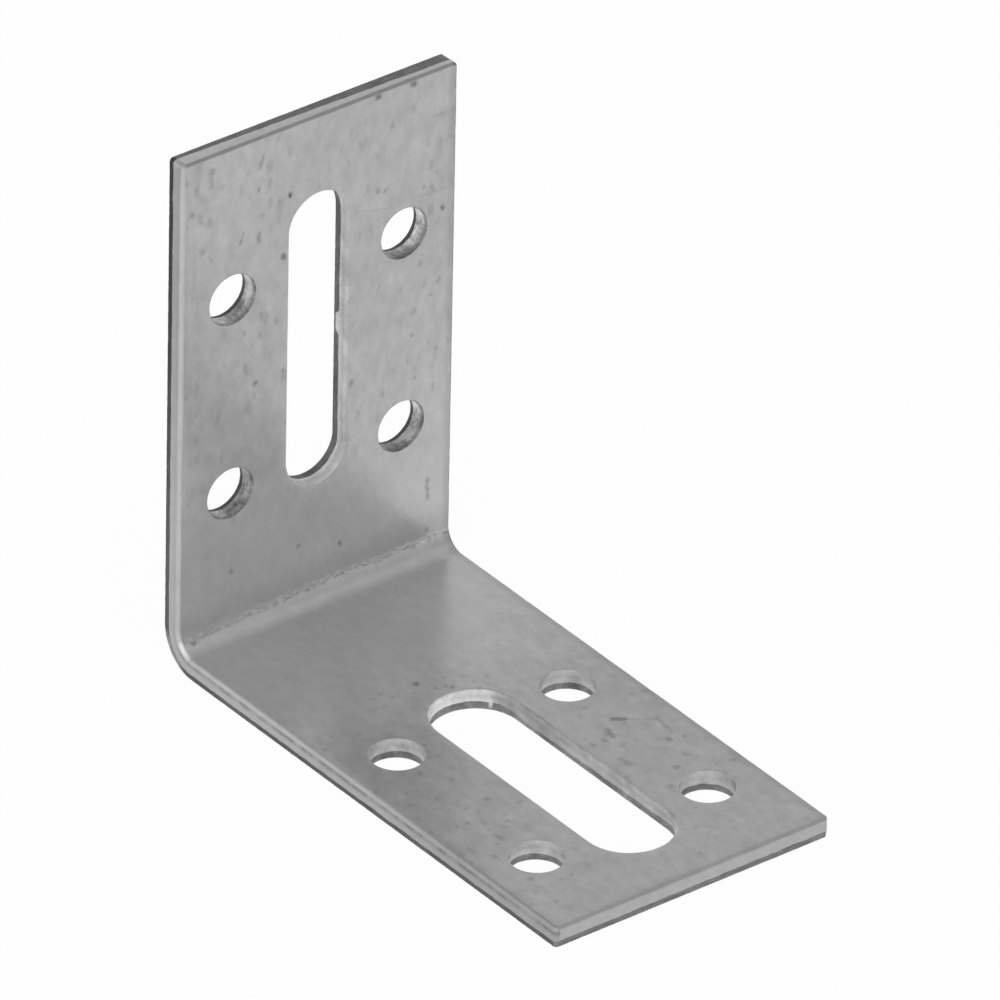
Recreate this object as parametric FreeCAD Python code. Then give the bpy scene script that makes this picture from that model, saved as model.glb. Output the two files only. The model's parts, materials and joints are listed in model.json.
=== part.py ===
import FreeCAD, Part
import os

# Adjustable angle bracket: one strip of sheet steel, punched while flat and then bent once,
# to a right angle. X runs along the foot, Y across the strip and Z up. The origin is on the
# underside of the foot, under the middle of the bracket, and the upright leg stands at -X.

Vector = FreeCAD.Vector

# The strip, in millimetres. Both legs are measured from the outer faces of the bend.
strip_width = 30.0
sheet_thickness = 2.0
leg_height = 52.0
foot_length = 56.5
inner_bend_radius = 2.0

# The long slots, one down the middle of each leg. The bend distance runs from the outer
# face of the other leg to the near end of the slot, the tip distance from the far end.
leg_slot_width = 6.5
leg_slot_bend_distance = 14.0
leg_slot_tip_distance = 8.0
foot_slot_width = 8.5
foot_slot_bend_distance = 21.5
foot_slot_tip_distance = 5.0

# The round holes, four beside each slot. The offset is how far the middle of the four lies
# from the middle of the slot, towards the tip.
hole_diameter = 5.0
hole_pitch_along = 20.0
hole_pitch_across = 18.8
leg_hole_offset = -2.6
foot_hole_offset = 0.0

# What the punch and the shear leave at every cut edge. On the inner face the sheet is drawn
# down into a small round. The wall is then cut square, and its last stretch, next to the
# outer face, breaks away at a slant.
rollover_radius = 0.35
fracture_depth = 0.7
fracture_slant = 0.07
tip_corner_radius = 0.2

# How far a cutting tool reaches past the sheet, and how close is touching.
tool_reach = 1.0
touching = 0.001

half_width = strip_width / 2
outer_bend_radius = inner_bend_radius + sheet_thickness
cut_depth = sheet_thickness - fracture_depth
outline_corner_radius = tip_corner_radius + rollover_radius
leg_run = leg_height - outer_bend_radius
foot_run = foot_length - outer_bend_radius
back_x = -foot_length / 2
bend_axis = Vector(back_x + outer_bend_radius, 0, outer_bend_radius)


# Each leg is drawn flat: u across the strip, v from the bend line to the tip, and w down
# through the sheet from its inner face. A placement then stands it on its side of the bend.

def flat_frame(u_axis, v_axis, w_axis, origin):
    """The placement that carries the flat drawing's u, v and w onto three axes."""
    turn = FreeCAD.Matrix(
        u_axis.x, v_axis.x, w_axis.x, origin.x,
        u_axis.y, v_axis.y, w_axis.y, origin.y,
        u_axis.z, v_axis.z, w_axis.z, origin.z,
        0, 0, 0, 1)
    return FreeCAD.Placement(turn)


def outline(run, inset, w):
    """A leg's edge at depth w: square across the bend line, rounded at the tip's corners."""
    side = half_width - inset
    tip = run - inset
    radius = outline_corner_radius
    middle = radius * (1 - 0.5 ** 0.5)
    a = Vector(-side, 0, w)
    b = Vector(-side, tip - radius, w)
    b_mid = Vector(-side + middle, tip - middle, w)
    c = Vector(-side + radius, tip, w)
    d = Vector(side - radius, tip, w)
    d_mid = Vector(side - middle, tip - middle, w)
    e = Vector(side, tip - radius, w)
    f = Vector(side, 0, w)
    edges = [
        Part.LineSegment(a, b).toShape(),
        Part.Arc(b, b_mid, c).toShape(),
        Part.LineSegment(c, d).toShape(),
        Part.Arc(d, d_mid, e).toShape(),
        Part.LineSegment(e, f).toShape(),
        Part.LineSegment(f, a).toShape()]
    return Part.Wire(edges)


def slot_outline(width, start, end, w):
    """A slot with round ends, along v from start to end, at depth w."""
    radius = width / 2
    a = Vector(-radius, start + radius, w)
    b = Vector(-radius, end - radius, w)
    far = Vector(0, end, w)
    c = Vector(radius, end - radius, w)
    d = Vector(radius, start + radius, w)
    near = Vector(0, start, w)
    edges = [
        Part.LineSegment(a, b).toShape(),
        Part.Arc(b, far, c).toShape(),
        Part.LineSegment(c, d).toShape(),
        Part.Arc(d, near, a).toShape()]
    return Part.Wire(edges)


def flat_leg(run):
    """One leg without its openings: the square-cut depth, and under it the slanted break."""
    top = Part.Face(outline(run, 0, 0))
    cut = top.extrude(Vector(0, 0, cut_depth))
    broken = Part.makeLoft(
        [outline(run, 0, cut_depth), outline(run, fracture_slant, sheet_thickness)], True, True)
    return cut.fuse(broken)


def slot_tool(width, start, end):
    """The opening that a slot punch leaves: straight, then flaring to the outer face."""
    top = Part.Face(slot_outline(width, start, end, -tool_reach))
    straight = top.extrude(Vector(0, 0, tool_reach + cut_depth))
    flare = Part.makeLoft(
        [slot_outline(width, start, end, cut_depth),
         slot_outline(width + 2 * fracture_slant, start - fracture_slant,
                      end + fracture_slant, sheet_thickness)], True, True)
    return straight.fuse(flare)


def hole_tool(u, v):
    """The opening that a round punch leaves, with the same flare."""
    radius = hole_diameter / 2
    down = Vector(0, 0, 1)
    straight = Part.makeCylinder(radius, tool_reach + cut_depth, Vector(u, v, -tool_reach), down)
    flare = Part.makeCone(
        radius, radius + fracture_slant, fracture_depth, Vector(u, v, cut_depth), down)
    return straight.fuse(flare)


def punched_leg(run, slot_width, slot_bend_distance, slot_tip_distance, hole_offset):
    """A flat leg with its slot and the four holes about it."""
    start = slot_bend_distance - outer_bend_radius
    end = run - slot_tip_distance
    middle = (start + end) / 2 + hole_offset
    leg = flat_leg(run).cut(slot_tool(slot_width, start, end))
    for u in (-hole_pitch_across / 2, hole_pitch_across / 2):
        for v in (middle - hole_pitch_along / 2, middle + hole_pitch_along / 2):
            leg = leg.cut(hole_tool(u, v))
    return leg


def bend():
    """The quarter turn between the legs: the strip's own section, turned about the bend axis."""
    section = Part.makePolygon([
        Vector(back_x + sheet_thickness, -half_width, outer_bend_radius),
        Vector(back_x + fracture_depth, -half_width, outer_bend_radius),
        Vector(back_x, -half_width + fracture_slant, outer_bend_radius),
        Vector(back_x, half_width - fracture_slant, outer_bend_radius),
        Vector(back_x + fracture_depth, half_width, outer_bend_radius),
        Vector(back_x + sheet_thickness, half_width, outer_bend_radius),
        Vector(back_x + sheet_thickness, -half_width, outer_bend_radius)])
    return Part.Face(section).revolve(bend_axis, Vector(0, -1, 0), 90)


def lies_on_inner_face(point):
    """Whether a point is on the inner face of the leg, of the bend or of the foot."""
    beyond_leg = point.z >= outer_bend_radius
    beyond_foot = point.x >= bend_axis.x
    if beyond_leg:
        return abs(point.x - back_x - sheet_thickness) < touching
    if beyond_foot:
        return abs(point.z - sheet_thickness) < touching
    reach = ((point.x - bend_axis.x) ** 2 + (point.z - bend_axis.z) ** 2) ** 0.5
    return abs(reach - inner_bend_radius) < touching


def rim_edges(shape):
    """The edges where the inner face ends: along the strip's outline and round each opening."""
    rims = []
    for edge in shape.Edges:
        first = edge.FirstParameter
        last = edge.LastParameter
        points = [edge.valueAt(first + (last - first) * part / 4) for part in range(5)]
        across_bend = abs(points[4].y - points[0].y) > strip_width - touching
        if all(lies_on_inner_face(point) for point in points) and not across_bend:
            rims.append(edge)
    return rims


def angle_bracket():
    """The two legs and the bend as one sheet, with every rim of the inner face rolled over."""
    across = Vector(0, 1, 0)
    along_x = Vector(1, 0, 0)
    along_z = Vector(0, 0, 1)
    leg = punched_leg(leg_run, leg_slot_width, leg_slot_bend_distance,
                      leg_slot_tip_distance, leg_hole_offset)
    leg.Placement = flat_frame(-across, along_z, -along_x,
                               Vector(back_x + sheet_thickness, 0, outer_bend_radius))
    foot = punched_leg(foot_run, foot_slot_width, foot_slot_bend_distance,
                       foot_slot_tip_distance, foot_hole_offset)
    foot.Placement = flat_frame(across, along_x, -along_z,
                                Vector(back_x + outer_bend_radius, 0, sheet_thickness))
    sheet = leg.fuse([bend(), foot]).removeSplitter()
    return sheet.makeFillet(rollover_radius, rim_edges(sheet))


os.makedirs("parts", exist_ok=True)
bracket = angle_bracket().Solids[0]
bracket.exportStep("parts/angle_bracket.step")
print("angle_bracket", "valid", bracket.isValid(), "volume", round(bracket.Volume, 1))
box = bracket.BoundBox
print("box", [round(v, 3) for v in (box.XMin, box.YMin, box.ZMin, box.XMax, box.YMax, box.ZMax)])
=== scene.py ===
import json
import math

import bpy
import bmesh
from mathutils import Matrix, Vector, noise
from mathutils.geometry import delaunay_2d_cdt


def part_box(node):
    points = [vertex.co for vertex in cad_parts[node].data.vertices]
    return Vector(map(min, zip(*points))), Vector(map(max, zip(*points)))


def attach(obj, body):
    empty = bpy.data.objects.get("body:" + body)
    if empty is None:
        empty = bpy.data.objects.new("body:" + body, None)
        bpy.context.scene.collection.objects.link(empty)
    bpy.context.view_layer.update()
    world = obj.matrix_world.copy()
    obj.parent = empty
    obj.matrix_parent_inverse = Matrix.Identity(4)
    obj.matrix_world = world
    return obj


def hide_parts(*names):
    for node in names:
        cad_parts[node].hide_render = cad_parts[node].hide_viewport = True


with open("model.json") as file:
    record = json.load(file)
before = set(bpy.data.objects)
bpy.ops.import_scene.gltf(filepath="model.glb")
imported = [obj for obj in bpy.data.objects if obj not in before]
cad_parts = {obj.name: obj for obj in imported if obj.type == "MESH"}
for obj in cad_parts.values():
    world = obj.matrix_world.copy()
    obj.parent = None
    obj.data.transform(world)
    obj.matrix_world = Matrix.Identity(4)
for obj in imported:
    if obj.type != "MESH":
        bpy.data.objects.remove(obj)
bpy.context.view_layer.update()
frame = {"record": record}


# The bracket: one strip of 2 mm galvanised sheet steel, punched while flat and folded once on a
# press brake. It is drawn here as the flat strip, u across it, s along it from the top of the
# leg to the tip of the foot and w down through the sheet, and then wrapped round the fold.

mm = 0.001
mounts = {mount["name"]: mount for mount in frame["record"]["mounts"]}
low_corner, high_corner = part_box("angle_bracket")
back_x = low_corner.x
half_width = (high_corner.y - low_corner.y) / 2
leg_height = high_corner.z
foot_length = high_corner.x - low_corner.x
thickness = mounts["foot_inner_face"]["pos_m"][2]

inner_fold_radius = 2.0 * mm
outer_fold_radius = inner_fold_radius + thickness
fold_run = math.pi / 2 * (inner_fold_radius + thickness / 2)
fold_start = leg_height - outer_fold_radius
fold_end = fold_start + fold_run
strip_length = fold_end + foot_length - outer_fold_radius
fold_centre = Vector((back_x + outer_fold_radius, 0, outer_fold_radius))

corner_radius = 0.42 * mm
corner_steps = 4
leg_slot_width = 6.5 * mm
foot_slot_width = 8.5 * mm
slot_length = 30.0 * mm


def on_bracket(u, s, w):
    """Where a point of the flat strip lies once the strip is folded."""
    if s <= fold_start:
        return Vector((back_x + thickness - w, u, leg_height - s))
    if s >= fold_end:
        return Vector((fold_centre.x + s - fold_end, u, thickness - w))
    turn = (s - fold_start) / fold_run * math.pi / 2
    reach = inner_fold_radius + w
    return Vector((fold_centre.x - reach * math.cos(turn), u,
                   fold_centre.z - reach * math.sin(turn)))


def on_strip(place):
    """Where a point of the folded bracket's middle plane lies on the flat strip, as u and s."""
    if place[2] > outer_fold_radius:
        return place[1], leg_height - place[2]
    return place[1], fold_end + place[0] - fold_centre.x


def arc(centre_u, centre_s, radius, start, turn, steps):
    """Points round an arc, each with the direction that leads away from its centre."""
    points = []
    for step in range(steps + 1):
        angle = start + turn * step / steps
        out = (math.cos(angle), math.sin(angle))
        points.append((centre_u + radius * out[0], centre_s + radius * out[1], out[0], out[1]))
    return points


def straight(start, end, out, spacing):
    """Points between two corners, ends left out, with the direction that leads off the sheet."""
    steps = max(2, round(math.dist(start, end) / spacing))
    return [(start[0] + (end[0] - start[0]) * step / steps,
             start[1] + (end[1] - start[1]) * step / steps, out[0], out[1])
            for step in range(1, steps)]


edge_spacing = 0.3 * mm
fold_steps = 16


def side(u, out, downwards):
    """One long side of the strip: evenly spaced on the legs, finer round the fold."""
    tip = strip_length - corner_radius
    fold = [(u, fold_start + fold_run * step / fold_steps, out, 0)
            for step in range(fold_steps + 1)]
    points = (straight((u, corner_radius), (u, fold_start), (out, 0), edge_spacing) + fold
              + straight((u, fold_end), (u, tip), (out, 0), edge_spacing))
    return points if downwards else points[::-1]


def strip_outline():
    """The strip's own outline, with its four corners barely rounded."""
    quarter = math.pi / 2
    near = half_width - corner_radius
    far = strip_length - corner_radius
    top = straight((-near, 0), (near, 0), (0, -1), edge_spacing)
    tip = straight((near, strip_length), (-near, strip_length), (0, 1), edge_spacing)
    return (arc(-near, corner_radius, corner_radius, 2 * quarter, quarter, corner_steps) + top
            + arc(near, corner_radius, corner_radius, 3 * quarter, quarter, corner_steps)
            + side(half_width, 1, True)
            + arc(near, far, corner_radius, 0, quarter, corner_steps) + tip
            + arc(-near, far, corner_radius, quarter, quarter, corner_steps)
            + side(-half_width, -1, False))


def opening_outline(u, s, width, length):
    """A punched opening, round or a slot along s. Its out directions lead into the opening."""
    radius = width / 2
    reach = length / 2 - radius
    steps = round(math.pi * radius / edge_spacing)
    points = arc(u, s + reach, radius, 0, math.pi, steps)
    if reach > 0:
        points += straight((u - radius, s + reach), (u - radius, s - reach), (-1, 0), edge_spacing)
    low = arc(u, s - reach, radius, math.pi, math.pi, steps)
    points += low if reach > 0 else low[1:-1]
    if reach > 0:
        points += straight((u + radius, s - reach), (u + radius, s + reach), (1, 0), edge_spacing)
    return [(a, b, -out_u, -out_s) for a, b, out_u, out_s in points]


def openings():
    """Each opening as its middle, its width and its length."""
    found = []
    for name, width in (("leg_slot", leg_slot_width), ("foot_slot", foot_slot_width)):
        u, s = on_strip(mounts[name]["pos_m"])
        found.append((u, s, width, slot_length))
    across = {"leg_holes": "spacing_x_mm", "foot_holes": "spacing_y_mm"}
    along = {"leg_holes": "spacing_y_mm", "foot_holes": "spacing_x_mm"}
    for name in across:
        dims = mounts[name]["dims"]
        u, s = on_strip(mounts[name]["pos_m"])
        hole = 2 * dims["hole_r_mm"] * mm
        for side_u in (-0.5, 0.5):
            for side_s in (-0.5, 0.5):
                found.append((u + side_u * dims[across[name]] * mm,
                              s + side_s * dims[along[name]] * mm, hole, hole))
    return found


def is_round(opening):
    """Whether an opening is a round hole, as wide as it is long."""
    return opening[2] == opening[3]


def wander(u, s, scale, seed):
    """A smooth random value from about -1 to 1 that changes over scale along the sheet."""
    return noise.noise(Vector((u / scale, s / scale, seed)))


side_rollover = 0.35 * mm
right_rollover = 0.2 * mm
top_rollover = 0.26 * mm
top_rollover_ease = 3.0 * mm
slot_rollover = 0.12 * mm
hole_rollover = 0.07 * mm
rollover_wander = 0.15
rollover_wave = 3.0 * mm
rollover_steps = 6

leg_side_break = 0.66 * mm
foot_side_break = 0.56 * mm
top_break_left = 0.6 * mm
top_break_right = 1.3 * mm
tip_break = 0.62 * mm
leg_slot_break = 0.82 * mm
shallow_break = 0.3 * mm
shallow_break_middle = 23.2 * mm
shallow_break_reach = 0.95 * mm
shallow_break_ease = 0.2 * mm
foot_slot_end_break = 0.8 * mm
foot_slot_end_ease = 0.4
foot_slot_side_break_near = 0.5 * mm
foot_slot_side_break_far = 0.75 * mm
leg_hole_break = 0.48 * mm
foot_hole_break = 0.7 * mm

break_wander = 0.08 * mm
break_wave = 2.5 * mm
break_ripple = 0.6 * mm
ripple_share = 0.7
break_slant = 0.06 * mm
slant_curve = 0.6
break_roughness = 0.04 * mm
roughness_wave = 0.4 * mm
cut_shares = (0, 0.5)
break_shares = (0, 0.2, 0.4, 0.6, 0.8, 1)
wander_step = 11.0


def between(start, end, share):
    """A value part of the way from start to end, by a share that is kept from 0 to 1."""
    return start + (end - start) * min(1, max(0, share))


def outline_break(u, s):
    """How deep the broken band is along the strip's outline: it grows along the sheared top."""
    if s <= corner_radius:
        return between(top_break_left, top_break_right, (u + half_width) / (2 * half_width))
    if s >= strip_length - corner_radius:
        return tip_break
    return between(leg_side_break, foot_side_break, (s - fold_start) / fold_run)


def opening_break(opening, s):
    """How deep the broken band is round an opening: shallow for a stretch of the leg's slot, and
    deeper towards the tip along the foot's slot."""
    _, middle_s, width, length = opening
    on_leg = middle_s < fold_start
    if is_round(opening):
        return leg_hole_break if on_leg else foot_hole_break
    if on_leg:
        off_shallow = abs(s - shallow_break_middle) - shallow_break_reach
        return between(shallow_break, leg_slot_break, off_shallow / shallow_break_ease)
    side_depth = between(foot_slot_side_break_near, foot_slot_side_break_far,
                         (s - middle_s) / (length - width) + 0.5)
    past_arc = abs(s - middle_s) - (length - width) / 2
    return between(side_depth, foot_slot_end_break,
                   past_arc / (foot_slot_end_ease * width) + 0.5)


def rollover_at(opening, u, s):
    """How far the rim is drawn down: less along the sheared top, down the right side and round
    the openings."""
    if opening is not None:
        return hole_rollover if is_round(opening) else slot_rollover
    on_top = s <= corner_radius and abs(u) < half_width - corner_radius
    rolled = top_rollover if on_top else between(
        top_rollover, side_rollover, (s - corner_radius) / top_rollover_ease)
    return between(rolled, right_rollover, 1 + (u - half_width) / corner_radius)


def cut_wall(u, s, break_depth, full_rollover, seed):
    """The section of a cut edge, as offset off the sheet, depth and band: rollover, cut, broken."""
    round_off = full_rollover * (1 + rollover_wander * wander(u, s, rollover_wave, seed))
    cut_end = thickness - break_depth + break_wander * (
        wander(u, s, break_wave, seed + 3) + ripple_share * wander(u, s, break_ripple, seed + 5))
    wall = []
    for step in range(rollover_steps):
        angle = math.pi / 2 * step / rollover_steps
        wall.append((-round_off * (1 - math.sin(angle)), round_off * (1 - math.cos(angle)), 0))
    for share in cut_shares:
        wall.append((0, round_off + (cut_end - round_off) * share, 1))
    for share in break_shares:
        rough = break_roughness * wander(u, s, roughness_wave, seed + 7 + 3 * share)
        hollow = break_slant * share ** slant_curve + abs(rough) * min(1, 5 * share)
        wall.append((-hollow, cut_end + (thickness - cut_end) * share, 2))
    return wall


def in_opening(u, s, opening, margin):
    """Whether a point is inside an opening or within the margin of its edge."""
    middle_u, middle_s, width, length = opening
    reach = max(0, abs(s - middle_s) - (length - width) / 2)
    return math.hypot(u - middle_u, reach) < width / 2 + margin


face_spacing = 1.0 * mm
rim_clearance = 0.35 * mm


def face_points(all_openings):
    """Points inside the sheet's faces: an even grid on the legs and a row at each fold step."""
    rows = []
    for start, end in ((0, fold_start), (fold_end, strip_length)):
        count = round((end - start) / face_spacing)
        rows += [start + (end - start) * step / count for step in range(1, count)]
    rows += [fold_start + fold_run * step / fold_steps for step in range(fold_steps + 1)]
    columns = round(2 * half_width / face_spacing)
    margin = side_rollover + rim_clearance
    found = []
    for s in rows:
        for column in range(1, columns):
            u = -half_width + 2 * half_width * column / columns
            if not any(in_opening(u, s, opening, margin) for opening in all_openings):
                found.append((u, s))
    return found


def is_inside(u, s, rim):
    """Whether a point is inside a closed rim of vert, u and s."""
    inside = False
    for (_, here_u, here_s), (_, last_u, last_s) in zip(rim, rim[-1:] + rim[:-1]):
        if (here_s > s) != (last_s > s):
            crossing = here_u + (s - here_s) / (last_s - here_s) * (last_u - here_u)
            inside = inside != (u < crossing)
    return inside


# The seven finishes, numbered in the order in which their materials are made further down.
sheet_face, rolled_rim, cut_band, broken_band, punched_cut, punched_broken, rough_cut = range(7)
merge_distance = 1e-5


def fill_face(mesh, place_layer, rims, inner_points, depth, upwards):
    """Fills one face of the sheet from its outline to its openings, through the inner points."""
    flat = []
    verts = []
    owner = []
    edges = []
    for number, rim in enumerate(rims):
        first = len(flat)
        for vert, u, s in rim:
            flat.append(Vector((u, s)) / mm)
            verts.append(vert)
            owner.append(number)
        edges += [(first + step, first + (step + 1) % len(rim)) for step in range(len(rim))]
    for u, s in inner_points:
        flat.append(Vector((u, s)) / mm)
        verts.append(mesh.verts.new(on_bracket(u, s, depth)))
        verts[-1][place_layer] = Vector((u, s, depth)) / mm
        owner.append(None)
    _, _, triangles, origins, _, _ = delaunay_2d_cdt(flat, edges, [], 0, merge_distance)
    for corners in triangles:
        known = [origins[corner][0] for corner in corners]
        rim_number = owner[known[0]]
        # With all its corners on one rim, a triangle may lie in that opening or off the strip.
        if rim_number is not None and all(owner[corner] == rim_number for corner in known):
            u = sum(flat[corner].x for corner in known) / 3 * mm
            s = sum(flat[corner].y for corner in known) / 3 * mm
            is_outline = rim_number == 0
            if is_inside(u, s, rims[rim_number]) != is_outline:
                continue
        ring = [verts[corner] for corner in known]
        face = mesh.faces.new(ring if upwards else ring[::-1])
        face.material_index = sheet_face


bracket_mesh = bmesh.new()
flat_layer = bracket_mesh.verts.layers.float_vector.new("flat_mm")
punched = openings()
outlines = [strip_outline()] + [opening_outline(*opening) for opening in punched]
inner_rims = []
outer_rims = []
for number, outline in enumerate(outlines):
    opening = punched[number - 1] if number else None
    # The finishes of the rollover, the cut and the break: the leg's round holes are cut roughly.
    if opening is None:
        bands = (rolled_rim, cut_band, broken_band)
    elif is_round(opening) and opening[1] < fold_start:
        bands = (rough_cut, rough_cut, broken_band)
    else:
        bands = (punched_cut, punched_cut, punched_broken)
    rings = []
    for u, s, out_u, out_s in outline:
        break_depth = opening_break(opening, s) if opening else outline_break(u, s)
        full_rollover = rollover_at(opening, u, s)
        ring = []
        for offset, w, band in cut_wall(u, s, break_depth, full_rollover,
                                        wander_step * number):
            at_u = u + offset * out_u
            at_s = s + offset * out_s
            vert = bracket_mesh.verts.new(on_bracket(at_u, at_s, w))
            vert[flat_layer] = Vector((at_u, at_s, w)) / mm
            ring.append((vert, at_u, at_s, bands[band]))
        rings.append(ring)
    for here, after in zip(rings, rings[1:] + rings[:1]):
        for step in range(len(here) - 1):
            face = bracket_mesh.faces.new((here[step][0], here[step + 1][0],
                                           after[step + 1][0], after[step][0]))
            face.material_index = here[step][3]
    inner_rims.append([ring[0][:3] for ring in rings])
    outer_rims.append([ring[-1][:3] for ring in rings])

face_grid = face_points(punched)
fill_face(bracket_mesh, flat_layer, inner_rims, face_grid, 0, True)
fill_face(bracket_mesh, flat_layer, outer_rims, face_grid, thickness, False)
bmesh.ops.recalc_face_normals(bracket_mesh, faces=bracket_mesh.faces)

sharp_angle = math.radians(40)
sheet_data = bpy.data.meshes.new("folded_sheet")
bracket_mesh.to_mesh(sheet_data)
bracket_mesh.free()
sheet_data.shade_smooth()
sheet_data.set_sharp_from_angle(angle=sharp_angle)
folded_sheet = bpy.data.objects.new("folded_sheet", sheet_data)
bpy.context.scene.collection.objects.link(folded_sheet)
even_normals = folded_sheet.modifiers.new("even_normals", "WEIGHTED_NORMAL")
even_normals.keep_sharp = True
even_normals.weight = 50


def add_node(tree, kind, inputs=(), **options):
    """Adds a node, sets its options and gives each named input a value or a link."""
    node = tree.nodes.new(kind)
    for name, value in options.items():
        setattr(node, name, value)
    for name, value in dict(inputs).items():
        if isinstance(value, bpy.types.NodeSocket):
            tree.links.new(value, node.inputs[name])
        else:
            node.inputs[name].default_value = value
    return node


def maths(tree, operation, *values):
    """The output of a Math node for one, two or three values or sockets."""
    return add_node(tree, "ShaderNodeMath", dict(enumerate(values)), operation=operation).outputs[0]


def vector_maths(tree, operation, *values, output=0):
    """The output of a Vector Math node: 0 is a vector and 1 is a number."""
    return add_node(tree, "ShaderNodeVectorMath", dict(enumerate(values)),
                    operation=operation).outputs[output]


def scaled(tree, vector, factor):
    """A vector made longer or shorter by a factor."""
    return add_node(tree, "ShaderNodeVectorMath", {0: vector, "Scale": factor},
                    operation="SCALE").outputs[0]


def noise_value(tree, place, scale, detail=2.0, roughness=0.5):
    """Smooth noise from 0 to 1 over a place in millimetres."""
    return add_node(tree, "ShaderNodeTexNoise",
                    {"Vector": place, "Scale": scale, "Detail": detail, "Roughness": roughness}
                    ).outputs[0]


def ramp(tree, value, low, high, low_result=0.0, high_result=1.0):
    """Eases a value from one result to another between two limits."""
    return add_node(tree, "ShaderNodeMapRange",
                    {"Value": value, "From Min": low, "From Max": high,
                     "To Min": low_result, "To Max": high_result},
                    interpolation_type="SMOOTHSTEP").outputs[0]


def stretch(tree, value, start, full, fading, end):
    """1 between full and fading, eased to 0 at start and at end."""
    return maths(tree, "MULTIPLY", ramp(tree, value, start, full),
                 ramp(tree, value, fading, end, 1.0, 0.0))


def overlap(tree, first, *others):
    """Masks multiplied together, so 1 only where each of them is 1."""
    for mask in others:
        first = maths(tree, "MULTIPLY", first, mask)
    return first


def shaded_tone(tree, tone, effects):
    """A tone changed by each mask in turn: a strength of 0.2 is a fifth lighter, -0.2 darker."""
    for mask, strength in effects:
        tone = maths(tree, "MULTIPLY", tone, maths(tree, "MULTIPLY_ADD", mask, strength, 1.0))
    return tone


def new_group(name, inputs, outputs):
    """A shader node group with named sockets: its tree, its input node and its output node."""
    tree = bpy.data.node_groups.new(name, "ShaderNodeTree")
    for socket, kind, value in inputs:
        made = tree.interface.new_socket(name=socket, in_out="INPUT", socket_type=kind)
        if value is not None:
            made.default_value = value
    for socket in outputs:
        tree.interface.new_socket(name=socket, in_out="OUTPUT", socket_type="NodeSocketFloat")
    return tree, tree.nodes.new("NodeGroupInput"), tree.nodes.new("NodeGroupOutput")


number_socket = "NodeSocketFloat"
vector_socket = "NodeSocketVector"


def build_zinc_cloud():
    """Zinc's uneven tone: broad clouds, blotches drawn out along the strip, and fine grain."""
    tree, given, result = new_group(
        "zinc_cloud",
        [("Place", vector_socket, None), ("Clouds", number_socket, 0.1),
         ("Blotches", number_socket, 0.1), ("Grain", number_socket, 0.1)],
        ["Tone", "Height"])
    place = given.outputs["Place"]
    drawn_out = vector_maths(tree, "MULTIPLY", place, (1.0, 0.6, 1.0))
    clouds = noise_value(tree, place, 0.1, 2.0)
    blotches = noise_value(tree, drawn_out, 0.8, 3.0, 0.6)
    grain = noise_value(tree, place, 3.0, 2.0, 0.6)
    tone = 1.0
    for effect, strength in ((clouds, "Clouds"), (blotches, "Blotches"), (grain, "Grain")):
        centred = maths(tree, "SUBTRACT", effect, 0.5)
        tone = maths(tree, "MULTIPLY_ADD", centred, given.outputs[strength], tone)
    height = maths(tree, "MULTIPLY_ADD", blotches, 1.5, grain)
    tree.links.new(tone, result.inputs["Tone"])
    tree.links.new(height, result.inputs["Height"])
    return tree


def build_strewn_spots():
    """Ragged dark spots at random: a share of a lattice's cells holds one, of random size."""
    tree, given, result = new_group(
        "strewn_spots",
        [("Place", vector_socket, None), ("Spacing", number_socket, 3.0),
         ("Size", number_socket, 0.2), ("Share", number_socket, 0.3),
         ("Raggedness", number_socket, 0.3), ("Softness", number_socket, 0.5)],
        ["Spots"])
    place = given.outputs["Place"]
    ragged = add_node(tree, "ShaderNodeTexNoise",
                      {"Vector": place, "Scale": 2.2, "Detail": 2.0}).outputs[1]
    bent = vector_maths(tree, "ADD", place, scaled(tree, ragged, given.outputs["Raggedness"]))
    per_millimetre = maths(tree, "DIVIDE", 1.0, given.outputs["Spacing"])
    cells = add_node(tree, "ShaderNodeTexVoronoi", {"Vector": bent, "Scale": per_millimetre})
    chance = add_node(tree, "ShaderNodeSeparateColor", {0: cells.outputs["Color"]})
    off_middle = maths(tree, "MULTIPLY", cells.outputs["Distance"], given.outputs["Spacing"])
    reach = maths(tree, "MULTIPLY", given.outputs["Size"],
                  maths(tree, "ADD", chance.outputs[1], 0.5))
    relative = maths(tree, "DIVIDE", off_middle, reach)
    inner = maths(tree, "SUBTRACT", 1.0, given.outputs["Softness"])
    outer = maths(tree, "ADD", 1.0, given.outputs["Softness"])
    spot = ramp(tree, relative, inner, outer, 1.0, 0.0)
    chosen = maths(tree, "LESS_THAN", chance.outputs[0], given.outputs["Share"])
    depth = maths(tree, "MULTIPLY_ADD", chance.outputs[2], 0.7, 0.3)
    tree.links.new(overlap(tree, spot, chosen, depth), result.inputs["Spots"])
    return tree


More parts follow.
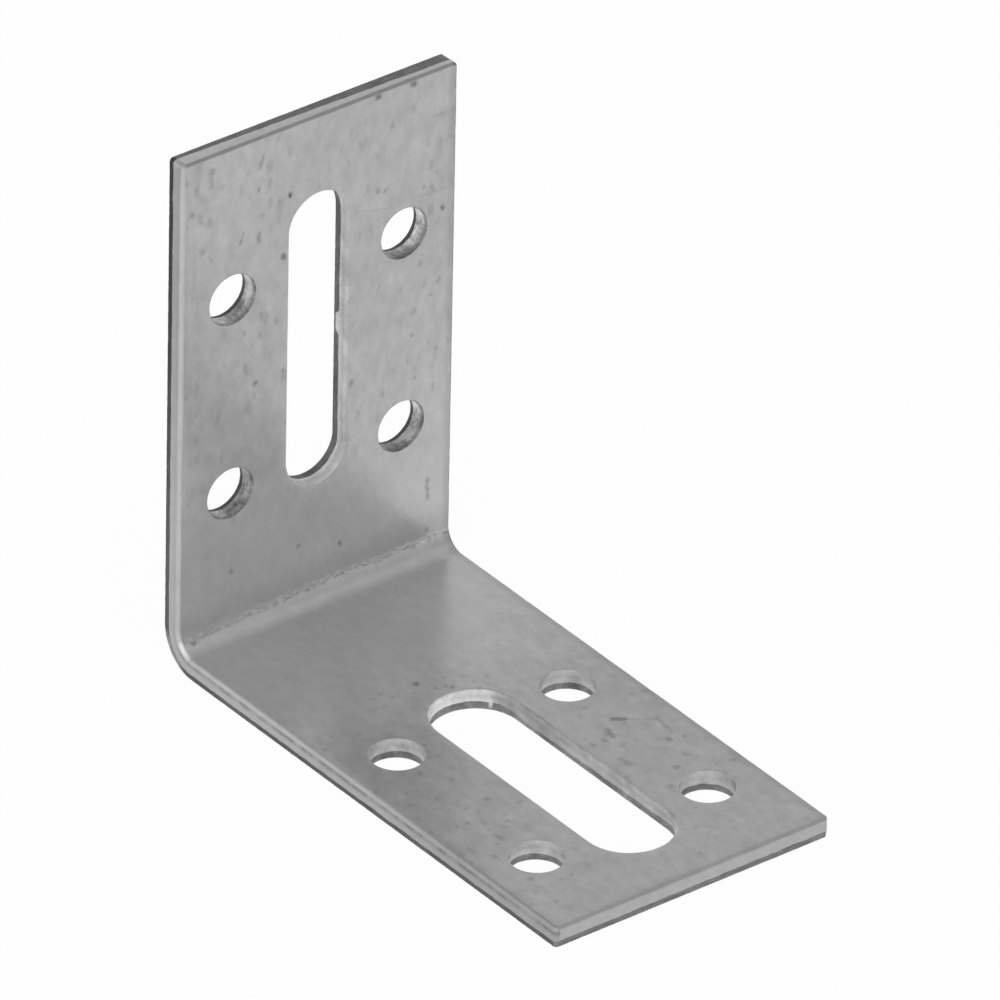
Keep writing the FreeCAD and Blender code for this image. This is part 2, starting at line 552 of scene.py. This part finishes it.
def build_one_mark():
    """A dark line or dot from one point to another, added to the marks made before it."""
    tree, given, result = new_group(
        "one_mark",
        [("Place", vector_socket, None), ("Before", number_socket, 0.0),
         ("Start", vector_socket, (0.0, 0.0, 0.0)), ("Run", vector_socket, (0.0, 0.1, 0.0)),
         ("Radius", number_socket, 0.2), ("Depth", number_socket, 1.0)],
        ["Marks"])
    from_start = vector_maths(tree, "SUBTRACT", given.outputs["Place"], given.outputs["Start"])
    run = given.outputs["Run"]
    along = maths(tree, "DIVIDE", vector_maths(tree, "DOT_PRODUCT", from_start, run, output=1),
                  vector_maths(tree, "DOT_PRODUCT", run, run, output=1))
    along = maths(tree, "MINIMUM", maths(tree, "MAXIMUM", along, 0.0), 1.0)
    distance = vector_maths(tree, "DISTANCE", from_start, scaled(tree, run, along), output=1)
    mark = ramp(tree, maths(tree, "DIVIDE", distance, given.outputs["Radius"]), 0.0, 1.7, 1.0, 0.0)
    deep = maths(tree, "MULTIPLY", mark, given.outputs["Depth"])
    tree.links.new(maths(tree, "MAXIMUM", deep, given.outputs["Before"]), result.inputs["Marks"])
    return tree


zinc_cloud = build_zinc_cloud()
strewn_spots = build_strewn_spots()
one_mark = build_one_mark()


def use_group(tree, group, inputs):
    """Places a node group in a tree and gives its outputs."""
    return add_node(tree, "ShaderNodeGroup", inputs, node_tree=group).outputs


def new_metal(name, metallic):
    """A material with a bare metal shader: its tree, its shader and the flat place in mm."""
    material = bpy.data.materials.new(name)
    material.use_nodes = True
    tree = material.node_tree
    shader = tree.nodes["Principled BSDF"]
    shader.inputs["Metallic"].default_value = metallic
    place = add_node(tree, "ShaderNodeAttribute", attribute_name="flat_mm").outputs["Vector"]
    sheet_data.materials.append(material)
    return tree, shader, place


def finish_metal(tree, shader, tone, grey, roughness, height, relief, relief_depth):
    """Gives a metal its tone, its roughness and its fine relief."""
    tree.links.new(maths(tree, "MULTIPLY", tone, grey), shader.inputs["Base Color"])
    shader.inputs["Roughness"].default_value = roughness
    bump = add_node(tree, "ShaderNodeBump",
                    {"Height": height, "Strength": relief, "Distance": relief_depth})
    tree.links.new(bump.outputs[0], shader.inputs["Normal"])


# Pits in the zinc, each its place on the strip, its radius and its depth, and smears, each its
# start, its run, its radius and its depth. Millimetres, and depth from 0 to 1.
pits = ((-3.2, 7.0, 0.26, 0.95), (13.6, 14.4, 0.24, 0.75), (-3.9, 13.1, 0.3, 0.65),
        (-6.8, 25.1, 0.26, 0.5), (3.8, 29.0, 0.32, 0.5), (2.8, 45.3, 0.25, 0.55),
        (-9.2, 43.7, 0.28, 0.4), (-1.2, 67.2, 0.26, 0.5), (-11.8, 1.6, 0.34, 0.45),
        (6.3, 0.4, 0.34, 0.7), (10.2, 0.4, 0.4, 0.7), (-6.7, 5.2, 0.2, 0.5),
        (11.5, 11.5, 0.2, 0.35), (-8.6, 9.9, 0.2, 0.45), (-12.8, 9.4, 0.3, 0.3),
        (-3.8, 24.9, 0.2, 0.3), (10.8, 31.0, 0.2, 0.3), (-1.8, 43.9, 0.24, 0.35),
        (12.5, 47.5, 0.2, 0.4), (11.2, 19.3, 0.24, 0.3), (12.5, 23.0, 0.26, 0.25),
        (10.4, 26.4, 0.24, 0.3), (-7.4, 85.5, 0.3, 0.35), (1.1, 69.4, 0.26, 0.35),
        (11.3, 87.2, 0.3, 0.4), (9.1, 91.1, 0.3, 0.35), (6.7, 84.0, 0.3, 0.35),
        (6.4, 10.1, 0.22, 0.4), (7.2, 10.4, 0.22, 0.35), (-7.9, 3.2, 0.22, 0.2),
        (-10.6, 3.5, 0.25, 0.2), (-13.9, 5.3, 0.28, 0.35), (-6.3, 8.0, 0.3, 0.25),
        (-13.7, 50.2, 0.3, 0.5))
smears = ((-11.9, 2.2, 0.1, 1.0, 0.24, 0.25), (-13.3, 0.5, -0.1, 1.3, 0.5, 0.2),
          (-13.4, 3.3, 0.6, 1.0, 0.4, 0.2), (-13.1, 5.8, 0.2, 0.7, 0.28, 0.2),
          (-11.9, 6.3, 0.0, 0.9, 0.2, 0.25), (-6.2, 1.9, -0.4, 1.2, 0.2, 0.3),
          (-5.4, 6.7, 0.0, 0.8, 0.24, 0.25), (-6.6, 9.8, 0.0, 0.8, 0.2, 0.4),
          (-8.3, 9.1, -0.3, 1.0, 0.16, 0.3), (-13.6, 7.5, -0.1, 5.5, 0.2, 0.1),
          (-4.3, 7.2, 0.1, 0.9, 0.4, 0.15), (12.4, 42.3, 0.1, 2.0, 0.2, 0.4),
          (4.0, 11.5, 3.9, 0.9, 0.12, 0.15), (11.1, 12.3, 2.9, 0.3, 0.14, 0.15),
          (12.3, 4.6, 2.4, 0.1, 0.14, 0.15), (9.3, 81.8, 0.9, 0.6, 0.26, 0.6),
          (10.5, 82.7, 2.4, 1.6, 0.12, 0.2), (7.9, 82.9, -0.2, 1.0, 0.26, 0.4),
          (12.6, 83.8, -0.3, 2.6, 0.2, 0.25), (6.0, 87.2, 0.1, 1.2, 0.28, 0.25),
          (4.0, 77.0, 0.3, 1.2, 0.24, 0.35), (3.8, 79.3, 0.5, 1.3, 0.24, 0.25),
          (-10.2, 90.4, 0.1, 1.0, 0.28, 0.25))


# More places on the sheet, in millimetres. Along the strip from the leg's top: the clean stretch
# round the fold, and where painted light and shade change the tone, with the tone before and after.
# From the crease's own line: the painted shade above it and the painted light band below it.
# Across: where the crease runs lower.
clean_stretch = (33.0, 40.0, 62.0, 70.0)
painted_light_ramps = ((20.0, 50.0, 1.0, 1.15), (60.0, 78.0, 1.0, 0.82), (85.0, 105.0, 1.0, 1.05))
crease = (fold_start + 0.22 * fold_run) / mm
crease_wobble = 0.8
crease_drop = (-14.0, 2.0)
crease_shade = (-4.5, -1.2, -0.2, 0.3)
crease_light = (0.0, 0.3, 0.5, 1.1)
light_dash_above = 0.3
dark_dash_fade = (-11.0, -2.0)
# How far in from the right edge its painted shade begins and where it is full, in millimetres.
right_edge_width = (1.1, 0.4)
zinc_grey = 0.43
zinc_metallic = 0.4
zinc_roughness = 0.26
zinc_relief = 0.3
zinc_relief_depth = 0.03 * mm


def build_zinc_face():
    """The zinc: grey, with smudges, pits, scratches, a fold crease, and painted light and shade."""
    tree, shader, place = new_metal("zinc_face", zinc_metallic)
    across, along, through = add_node(tree, "ShaderNodeSeparateXYZ", {0: place}).outputs
    past_crease = maths(tree, "MAXIMUM", maths(tree, "SUBTRACT", along, crease), 0.0)
    shortened = maths(tree, "MULTIPLY", maths(tree, "ADD", along, past_crease), 0.5)
    drawn_out = add_node(tree, "ShaderNodeCombineXYZ",
                         {0: across, 1: shortened, 2: through}).outputs[0]
    smudged_area = ramp(tree, noise_value(tree, place, 0.14, 1.0), 0.35, 0.6, 0.3, 1.0)
    near_fold = stretch(tree, along, *clean_stretch)
    blotches = maths(tree, "MULTIPLY_ADD", near_fold, -0.25, 0.5)
    cloud = use_group(tree, zinc_cloud, {"Place": place, "Clouds": 0.25, "Blotches": blotches,
                                         "Grain": 0.15})
    smudged_area = maths(tree, "MULTIPLY", smudged_area,
                         maths(tree, "MULTIPLY_ADD", near_fold, -0.8, 1.0))
    smudges = use_group(tree, strewn_spots, {"Place": drawn_out, "Spacing": 1.1, "Size": 0.23,
                                             "Share": 0.7, "Raggedness": 0.9, "Softness": 0.7})
    # Small painted highlights strewn over the zinc, for glints off its fine relief.
    elsewhere = vector_maths(tree, "ADD", drawn_out, (40.0, 9.0, 0.0))
    flecks = use_group(tree, strewn_spots, {"Place": elsewhere, "Spacing": 1.4, "Size": 0.24,
                                            "Share": 0.5, "Raggedness": 0.6, "Softness": 0.7})
    smudge = maths(tree, "MULTIPLY", smudges["Spots"], smudged_area)
    dots = use_group(tree, strewn_spots, {"Place": place, "Spacing": 2.4, "Size": 0.11,
                                          "Share": 0.35, "Raggedness": 0.3, "Softness": 0.5})
    marks = maths(tree, "MULTIPLY", dots["Spots"], 0.4)
    ragged = add_node(tree, "ShaderNodeTexNoise",
                      {"Vector": place, "Scale": 1.8, "Detail": 2.0}).outputs["Color"]
    shift = vector_maths(tree, "MULTIPLY_ADD", ragged, (0.6, 0.6, 0.0), (-0.3, -0.3, 0.0))
    bent = vector_maths(tree, "ADD", place, shift)
    for u, s, radius, depth in pits:
        marks = use_group(tree, one_mark, {"Place": bent, "Before": marks, "Start": (u, s, 0.0),
                                           "Radius": radius, "Depth": depth})["Marks"]
    for u, s, run_u, run_s, radius, depth in smears:
        marks = use_group(tree, one_mark, {"Place": bent, "Before": marks, "Start": (u, s, 0.0),
                                           "Run": (run_u, run_s, 0.0), "Radius": radius,
                                           "Depth": depth})["Marks"]
    # The crease: the light dashes along it are painted highlights on its small ridges and the dark
    # dashes their painted shade; both are raised as bumps too.
    on_inner = maths(tree, "LESS_THAN", through, 1.0)
    uneven = maths(tree, "MULTIPLY_ADD", noise_value(tree, place, 0.5, 1.0), crease_wobble,
                   crease - crease_wobble / 2)
    crease_line = maths(tree, "ADD", uneven, ramp(tree, across, *crease_drop, 1.0, 0.0))
    off_crease = maths(tree, "SUBTRACT", along, crease_line)
    off_light = maths(tree, "ABSOLUTE", maths(tree, "ADD", off_crease, light_dash_above))
    light_zone = overlap(tree, on_inner, ramp(tree, off_light, 0.25, 0.6, 1.0, 0.0))
    dark_zone = overlap(tree, on_inner, ramp(tree, across, *dark_dash_fade, 0.25, 1.0),
                        ramp(tree, maths(tree, "ABSOLUTE", off_crease), 0.12, 0.4, 1.0, 0.0))
    dashes = vector_maths(tree, "MULTIPLY", place, (1.7, 2.4, 1.0))
    crease_glint_dash = overlap(tree, light_zone, ramp(tree, noise_value(tree, dashes, 1.0), 0.47, 0.6))
    moved = vector_maths(tree, "ADD", dashes, (31.0, 7.0, 0.0))
    crease_shade_dash = overlap(tree, dark_zone, ramp(tree, noise_value(tree, moved, 1.0), 0.5, 0.62))
    # Painted shade on the leg above the crease, and a painted light band below it.
    shaded = overlap(tree, on_inner, stretch(tree, off_crease, *crease_shade))
    lit = overlap(tree, on_inner, stretch(tree, off_crease, *crease_light))
    # Painted shade in a narrow band just inside the strip's right edge.
    right_edge_shade = ramp(tree, across, *(half_width / mm - width for width in right_edge_width))
    tone = cloud["Tone"]
    # Painted light and shade along the strip: the tone eased lighter or darker between given
    # places.
    for start, end, tone_before, tone_after in painted_light_ramps:
        tone = maths(tree, "MULTIPLY", tone, ramp(tree, along, start, end, tone_before, tone_after))
    # The strewn painted highlights, kept to where the zinc is smudged.
    painted_glints = maths(tree, "MULTIPLY", flecks["Spots"], smudged_area)
    tone = shaded_tone(tree, tone, (
        (smudge, -0.4), (marks, -0.9), (painted_glints, 0.2), (crease_glint_dash, 0.24),
        (crease_shade_dash, -0.28), (shaded, -0.16), (lit, 0.08), (right_edge_shade, -0.15)))
    height = maths(tree, "MULTIPLY_ADD", maths(tree, "SUBTRACT", crease_glint_dash, crease_shade_dash), 2.0,
                   cloud["Height"])
    finish_metal(tree, shader, tone, zinc_grey, zinc_roughness, height, zinc_relief,
                 zinc_relief_depth)


# Places on the cut edges, in millimetres. Along the strip from the leg's top: where the left side
# stops being darker, where its shear line grows stronger and wider, the light stretch round the
# fold, where the foot's left side changes, and where the foot slot's near stretch of wall ends.
# Off the middle of the strip: where the slot's end turns into its long wall, and where the holes
# begin. Down from the inner face: the shear line's depth, and its half width and fade.
upper_left_fade = (12.0, 45.0)
line_growth = (46.0, 52.0)
line_widening = (50.0, 56.0)
fold_light = (48.2, 49.4, 51.0, 52.0)
far_left_growth = (62.0, 100.0)
near_wall_fade = (78.0, 86.0)
long_wall_start = (3.2, 4.2)
holes_start = (5.0, 6.0)
shear_line_depth = 0.58
shear_line_width = (0.04, 0.2)
rim_reach = (0.25, 0.6)
above_break = (0.6, 1.1)
# A painted highlight inside the fold's left corner: its start, run and radius in millimetres.
corner_glint_spot = {"Start": (-14.9, 50.0, 0.1), "Run": (0.2, 1.6, 0.0), "Radius": 0.45}
torn_spot = {"Start": (3.42, 71.95, 1.2), "Run": (0.0, 0.0, 0.45), "Radius": 0.18}
cut_metallic = 0.45
cut_relief = 0.5


def build_cut_metal(name, grey, roughness, blotches, grain, relief_depth, line=0.0,
                    left=1.0, upper_left=1.0, far_left=1.0, right=1.0, top=1.0, tip=1.0,
                    fold=1.0, long_wall=1.0, foot=1.0, rim=1.0, deep=1.0, overhead=1.0,
                    patches=0.0, streaks=0.0, glint=0.0, tear=0.0):
    """A cut surface. Each name from left to overhead is how much brighter the metal is there: on
    the strip's left side, its upper and its far stretch, on the right side, the top and the tip,
    round the fold, on the foot slot's long walls, on the foot, next to the rim, above the break,
    and where it faces down. Left, right, the long walls, the rim and facing down are painted
    light and shade for how those stretches meet the light. The line is how much darker the left
    side's shear line is. Patches and streaks are how much the metal varies. The glint is a
    painted highlight inside the fold's left corner, and the tear is a bright gap in the break at
    the near end of the foot's slot."""
    tree, shader, place = new_metal(name, cut_metallic)
    cloud = use_group(tree, zinc_cloud, {"Place": place, "Clouds": 0.2, "Blotches": blotches,
                                         "Grain": grain})
    across, along, through = add_node(tree, "ShaderNodeSeparateXYZ", {0: place}).outputs
    # The strip's two sides, where the left and right strengths paint light and shade; the shear
    # line also runs along the left side.
    side_start = half_width / mm - 0.6
    side_end = half_width / mm - 0.35
    on_left = ramp(tree, across, -side_end, -side_start, 1.0, 0.0)
    on_right = ramp(tree, across, side_start, side_end)
    off_line = maths(tree, "ABSOLUTE", maths(tree, "SUBTRACT", through, shear_line_depth))
    off_line = maths(tree, "DIVIDE", off_line, ramp(tree, along, *line_widening, 1.0, 1.8))
    shear_line = overlap(tree, on_left, ramp(tree, off_line, *shear_line_width, 1.0, 0.0),
                         ramp(tree, along, *line_growth, 0.2, 1.0),
                         ramp(tree, noise_value(tree, place, 0.8), 0.35, 0.6, 0.4, 1.2))
    on_upper_left = overlap(tree, on_left, ramp(tree, along, *upper_left_fade, 1.0, 0.0))
    in_fold = stretch(tree, along, *fold_light)
    broken_right = overlap(tree, on_right, ramp(tree, noise_value(tree, place, 0.8), 0.35, 0.55))
    on_foot = ramp(tree, along, fold_start / mm, fold_end / mm)
    off_middle = maths(tree, "ABSOLUTE", across)
    # Painted shade on the foot slot's long walls, at half strength on their near stretch.
    on_wall = overlap(tree, on_foot, ramp(tree, off_middle, *long_wall_start))
    on_long_wall = overlap(tree, on_wall, ramp(tree, off_middle, *holes_start, 1.0, 0.7))
    on_near_wall = overlap(tree, on_wall, ramp(tree, off_middle, *holes_start, 1.0, 0.0),
                           ramp(tree, along, *near_wall_fade, 1.0, 0.0))
    by_break = ramp(tree, through, *above_break)
    # The painted highlight inside the fold's left corner, by the glint strength.
    corner_glint = use_group(tree, one_mark, {"Place": place, **corner_glint_spot})["Marks"]
    torn = use_group(tree, one_mark, {"Place": place, **torn_spot})["Marks"]
    on_far_left = overlap(tree, on_left, ramp(tree, along, *far_left_growth))
    on_top = ramp(tree, along, 0.25, 0.5, 1.0, 0.0)
    on_tip = ramp(tree, along, strip_length / mm - 0.5, strip_length / mm - 0.25)
    # Next to the rim, painted light and shade by the rim strength: darker round the leg's round
    # holes.
    at_rim = ramp(tree, through, *rim_reach, 1.0, 0.0)
    facing = add_node(tree, "ShaderNodeSeparateXYZ",
                      {0: add_node(tree, "ShaderNodeTexCoord").outputs["Normal"]})
    # Painted light on walls that face down, by the overhead strength.
    faces_down = ramp(tree, facing.outputs["Z"], -0.6, 0.1, 1.0, 0.0)
    patch = maths(tree, "SUBTRACT", noise_value(tree, place, 0.45, 1.0), 0.5)
    drawn_out = vector_maths(tree, "MULTIPLY", place, (0.5, 0.5, 4.0))
    streak = maths(tree, "SUBTRACT", noise_value(tree, drawn_out, 1.0), 0.5)
    tone = shaded_tone(tree, cloud["Tone"], (
        (on_left, left - 1), (broken_right, right - 1), (shear_line, -line),
        (on_far_left, far_left - 1), (on_top, top - 1), (on_tip, tip - 1), (on_foot, foot - 1),
        (on_long_wall, long_wall - 1), (at_rim, rim - 1), (on_near_wall, (long_wall - 1) * 0.5),
        (by_break, deep - 1), (faces_down, overhead - 1), (patch, patches), (streak, streaks),
        (on_upper_left, upper_left - 1), (in_fold, fold - 1), (corner_glint, glint), (torn, tear)))
    finish_metal(tree, shader, tone, grey, roughness, cloud["Height"], cut_relief, relief_depth)


build_zinc_face()
build_cut_metal("rolled_rim", 0.4, 0.36, 0.3, 0.2, 0.02 * mm,
                left=1.2, far_left=0.72, right=0.6, top=0.8, glint=0.5)
build_cut_metal("cut_band", 0.42, 0.38, 0.3, 0.2, 0.02 * mm,
                line=0.35, upper_left=0.8, far_left=0.8, top=1.2)
build_cut_metal("broken_band", 0.07, 0.55, 0.8, 0.8, 0.06 * mm,
                left=1.25, upper_left=0.2, top=2.3, tip=2.5, fold=3.0, streaks=1.2)
build_cut_metal("punched_cut", 0.46, 0.38, 0.5, 0.5, 0.03 * mm,
                foot=1.3, long_wall=0.6, rim=1.15, deep=1.2, patches=0.9)
build_cut_metal("punched_broken", 0.11, 0.55, 1.4, 1.0, 0.06 * mm,
                foot=2.0, patches=1.5, tear=2.0)
build_cut_metal("rough_cut", 0.38, 0.45, 2.0, 1.6, 0.06 * mm,
                rim=0.6, overhead=1.3, patches=2.4)

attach(folded_sheet, "root")
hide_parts("angle_bracket")


# The floor: a plain white studio floor. It gives its own white to the camera and to the metal,
# and keeps a little of the bracket's soft shadow. From below it is clear, so that the underside
# can be looked at, and it is clear to light that starts right on it.

floor_reach = 3.0
floor_grey = 0.9
shadow_kept = 0.03
floor_gap = 0.02 * mm
contact_reach = 0.3 * mm

floor_corners = [(-floor_reach, -floor_reach, -floor_gap), (floor_reach, -floor_reach, -floor_gap),
                 (floor_reach, floor_reach, -floor_gap), (-floor_reach, floor_reach, -floor_gap)]
floor_data = bpy.data.meshes.new("floor")
floor_data.from_pydata(floor_corners, [], [(0, 1, 2, 3)])
floor = bpy.data.objects.new("floor", floor_data)
bpy.context.scene.collection.objects.link(floor)


def seen_rays(tree):
    """1 for rays from the camera and for those that metal or glass sends on, otherwise 0."""
    path = add_node(tree, "ShaderNodeLightPath").outputs
    either = maths(tree, "MAXIMUM", path["Is Camera Ray"], path["Is Glossy Ray"])
    return maths(tree, "MAXIMUM", either, path["Is Transmission Ray"])


def mixed(tree, share, first, second):
    """The first shader, and by the share the second one in its place."""
    return add_node(tree, "ShaderNodeMixShader",
                    {"Fac": share, 1: first.outputs[0], 2: second.outputs[0]})


floor_paint = bpy.data.materials.new("floor_paint")
floor_paint.use_nodes = True
paint = floor_paint.node_tree
paint.nodes.clear()
matt = add_node(paint, "ShaderNodeBsdfDiffuse",
                {"Color": (floor_grey, floor_grey, floor_grey, 1)})
white = add_node(paint, "ShaderNodeEmission", {"Strength": 1})
own_white = maths(paint, "MULTIPLY", seen_rays(paint), 1 - shadow_kept)
ray_length = add_node(paint, "ShaderNodeLightPath").outputs["Ray Length"]
touching = maths(paint, "LESS_THAN", ray_length, contact_reach)
from_below = add_node(paint, "ShaderNodeNewGeometry").outputs["Backfacing"]
clear = maths(paint, "MAXIMUM", touching, from_below)
open_floor = mixed(paint, clear, mixed(paint, own_white, matt, white),
                   add_node(paint, "ShaderNodeBsdfTransparent"))
add_node(paint, "ShaderNodeOutputMaterial", {"Surface": open_floor.outputs[0]})
floor_data.materials.append(floor_paint)


# The light: a white studio with one broad lamp over the foot's near side. The room is brighter
# towards its window. The metal mirrors the white walls, a dimmer ceiling and one dim corner.

window_direction = (0.8, -0.55, 0.23)
window_light = (-0.3, 0.9, 0.35, 1.55)
ceiling_tone = (0.4, 0.9, 1.0, 0.42)
dim_direction = (0.755, 0.624, 0.2)
dim_tone = (0.68, 0.95, 1.0, 0.2)

world = bpy.data.worlds.new("studio")
bpy.context.scene.world = world
world.use_nodes = True
studio = world.node_tree
studio.nodes.clear()
direction = add_node(studio, "ShaderNodeTexCoord").outputs["Generated"]
upwards = add_node(studio, "ShaderNodeSeparateXYZ", {0: direction}).outputs["Z"]
ceiling = ramp(studio, upwards, *ceiling_tone)
towards_dim = vector_maths(studio, "DOT_PRODUCT", direction, dim_direction, output=1)
room = maths(studio, "MULTIPLY", ceiling, ramp(studio, towards_dim, *dim_tone))
towards_window = vector_maths(studio, "DOT_PRODUCT", direction, window_direction, output=1)
even_light = add_node(studio, "ShaderNodeBackground",
                      {"Color": ceiling, "Strength": ramp(studio, towards_window, *window_light)})
camera_ray = add_node(studio, "ShaderNodeLightPath").outputs["Is Camera Ray"]
white_wall = add_node(studio, "ShaderNodeBackground",
                      {"Color": maths(studio, "MAXIMUM", room, camera_ray)})
around = mixed(studio, seen_rays(studio), even_light, white_wall)
add_node(studio, "ShaderNodeOutputWorld", {"Surface": around.outputs[0]})

lamp_data = bpy.data.lights.new("key", "AREA")
lamp_data.energy = 9
lamp_data.size = 2.0
lamp = bpy.data.objects.new("key", lamp_data)
bpy.context.scene.collection.objects.link(lamp)
lamp.location = (0.8, -1.5, 1.4)
lamp.rotation_mode = "QUATERNION"
lamp.rotation_quaternion = Vector(lamp.location).to_track_quat("Z", "Y")


# The camera: a long lens over the foot's near corner, as the photograph was taken. It stands
# almost 2 m away, so the bracket's edges run nearly parallel.

camera_azimuth = math.radians(51.918)
camera_height = math.radians(32.494)
camera_roll = math.radians(1.1425)
camera_data = bpy.data.cameras.new("camera")
camera_data.sensor_width = 36
camera_data.lens = 792.85
camera_data.clip_end = 10
camera = bpy.data.objects.new("camera", camera_data)
bpy.context.scene.collection.objects.link(camera)
back = Vector((math.sin(camera_azimuth) * math.cos(camera_height),
               -math.cos(camera_azimuth) * math.cos(camera_height), math.sin(camera_height)))
right = Vector((math.cos(camera_azimuth), math.sin(camera_azimuth), 0))
up = back.cross(right)
level = Matrix((right, up, back)).transposed()
camera.rotation_mode = "QUATERNION"
camera.rotation_quaternion = (level @ Matrix.Rotation(camera_roll, 3, "Z")).to_quaternion()
camera.location = (1.27059, -0.99554, 1.05383)
bpy.context.scene.camera = camera

bpy.context.scene.view_settings.view_transform = "Standard"
